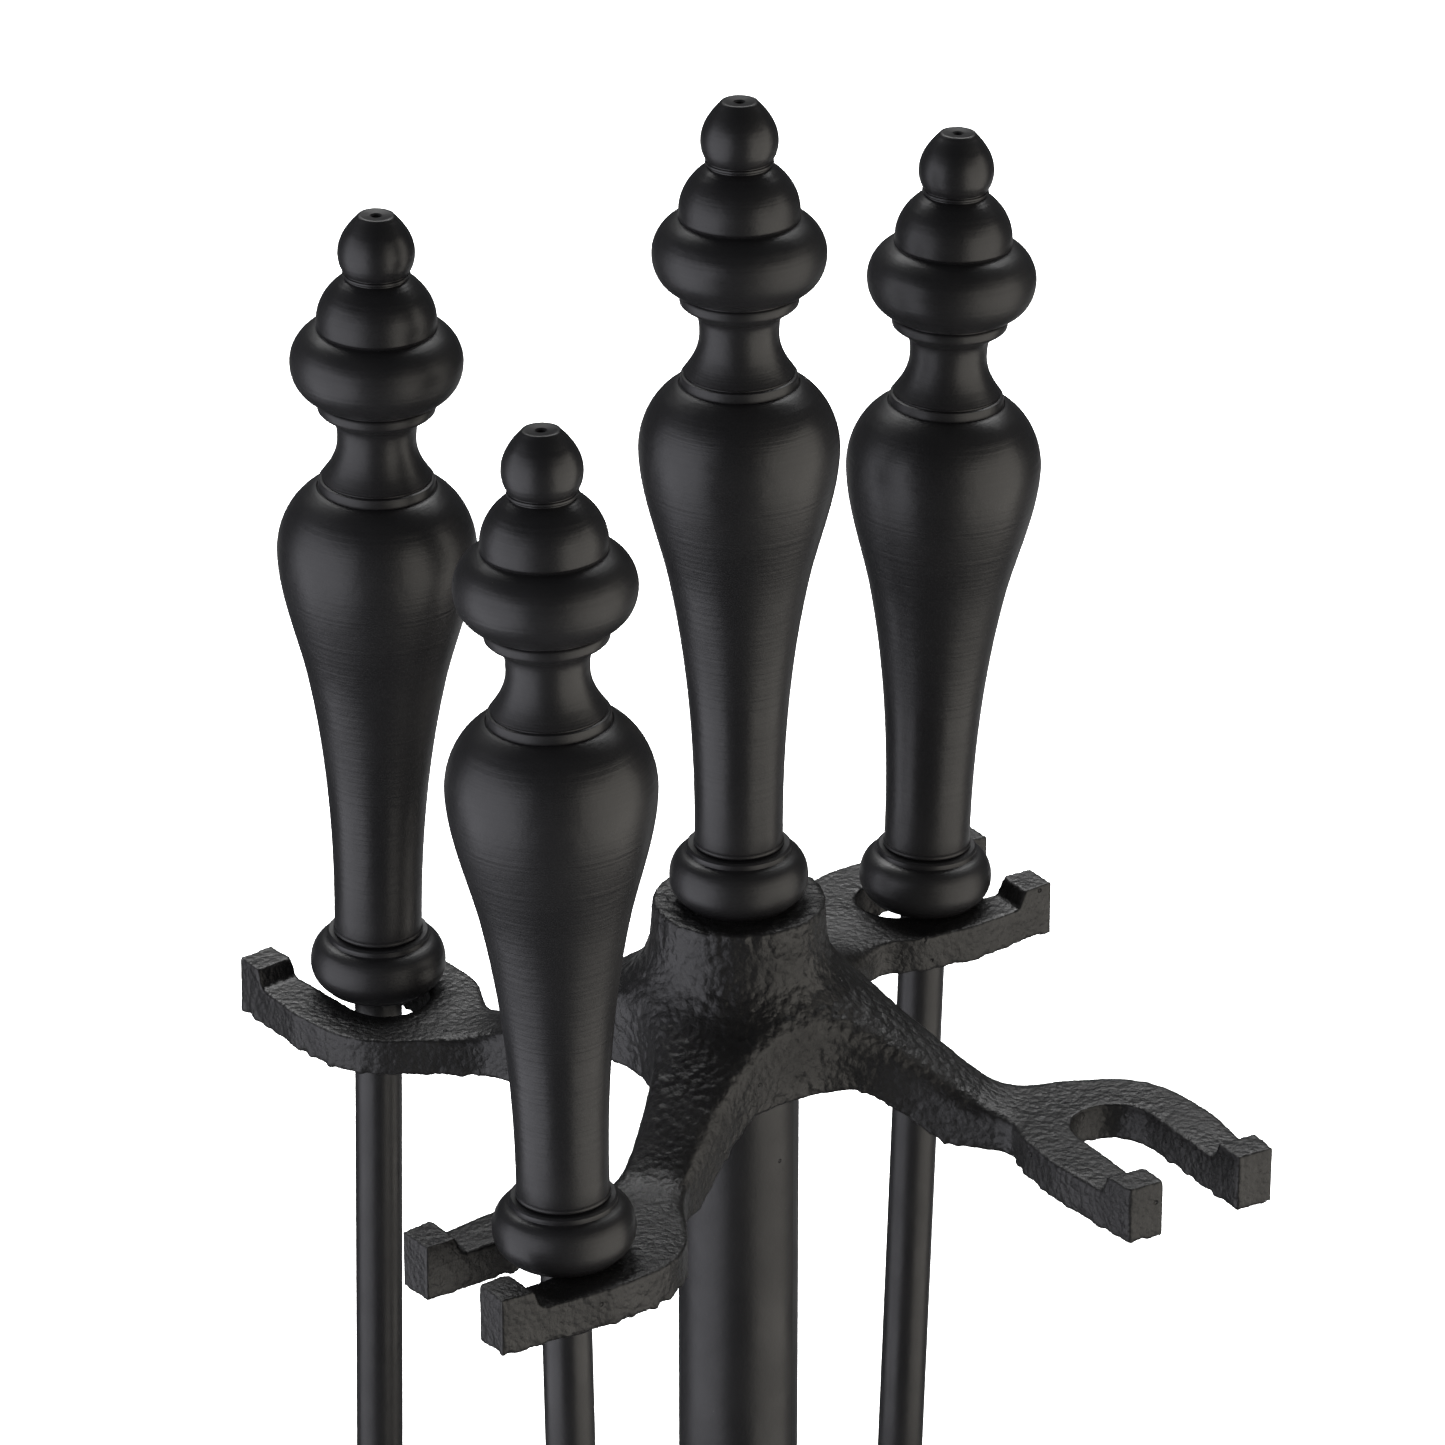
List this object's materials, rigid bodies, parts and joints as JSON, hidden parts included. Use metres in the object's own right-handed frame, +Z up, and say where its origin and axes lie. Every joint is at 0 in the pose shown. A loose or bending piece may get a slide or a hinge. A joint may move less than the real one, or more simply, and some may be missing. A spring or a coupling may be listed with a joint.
{
  "type": "fireplace tool set",
  "caption": "Black companion set: a turned post on a round base carries a cast yoke with forks, in which a poker, a shovel and a brush hang by the collars under their turned handles.",
  "frame": {"origin": "centre of the base on the floor", "axes": "+Z up along the post; -Y is the poker's fork, -X the shovel's, +Y the brush's and +X the empty one"},
  "size_m": [0.25, 0.25, 0.7769],
  "materials": {
    "cast_black": "rough sand-cast surface under black paint",
    "satin_black": "satin black paint",
    "zinc_steel": "zinc plated",
    "rubber": "matt",
    "painted_block": "black painted wood",
    "bristle": "stiff black bristles"
  },
  "bodies": {
    "stand": {"base_plate": "cast_black", "foot_pads": "rubber", "base_ferrule": "satin_black", "post_tube": "satin_black", "tie_rod": "zinc_steel", "base_washer": "zinc_steel", "base_nut": "zinc_steel", "yoke": "cast_black", "finial_collar": "satin_black", "finial_handle": "satin_black"},
    "poker": {"poker_handle": "satin_black", "poker_collar": "satin_black", "poker_shaft": "satin_black", "poker_head": "cast_black"},
    "shovel": {"shovel_handle": "satin_black", "shovel_collar": "satin_black", "shovel_shaft": "satin_black", "shovel_socket": "satin_black", "shovel_pan": "satin_black", "shovel_rivets": "satin_black"},
    "brush": {"brush_handle": "satin_black", "brush_collar": "satin_black", "brush_shaft": "satin_black", "brush_ferrule": "satin_black", "brush_core": "painted_block", "brush_bristles": "bristle"}
  },
  "joints": [
    {"name": "poker_lift", "type": "slide", "parent": "stand", "child": "poker", "axis": [-0.2854, -0.5278, 0.8], "range_m": [0, 0.25]},
    {"name": "shovel_lift", "type": "slide", "parent": "stand", "child": "shovel", "axis": [-0.5481, 0.244, 0.8], "range_m": [0, 0.25]},
    {"name": "brush_lift", "type": "slide", "parent": "stand", "child": "brush", "axis": [0.3329, 0.4992, 0.8], "range_m": [0, 0.25]}
  ]
}
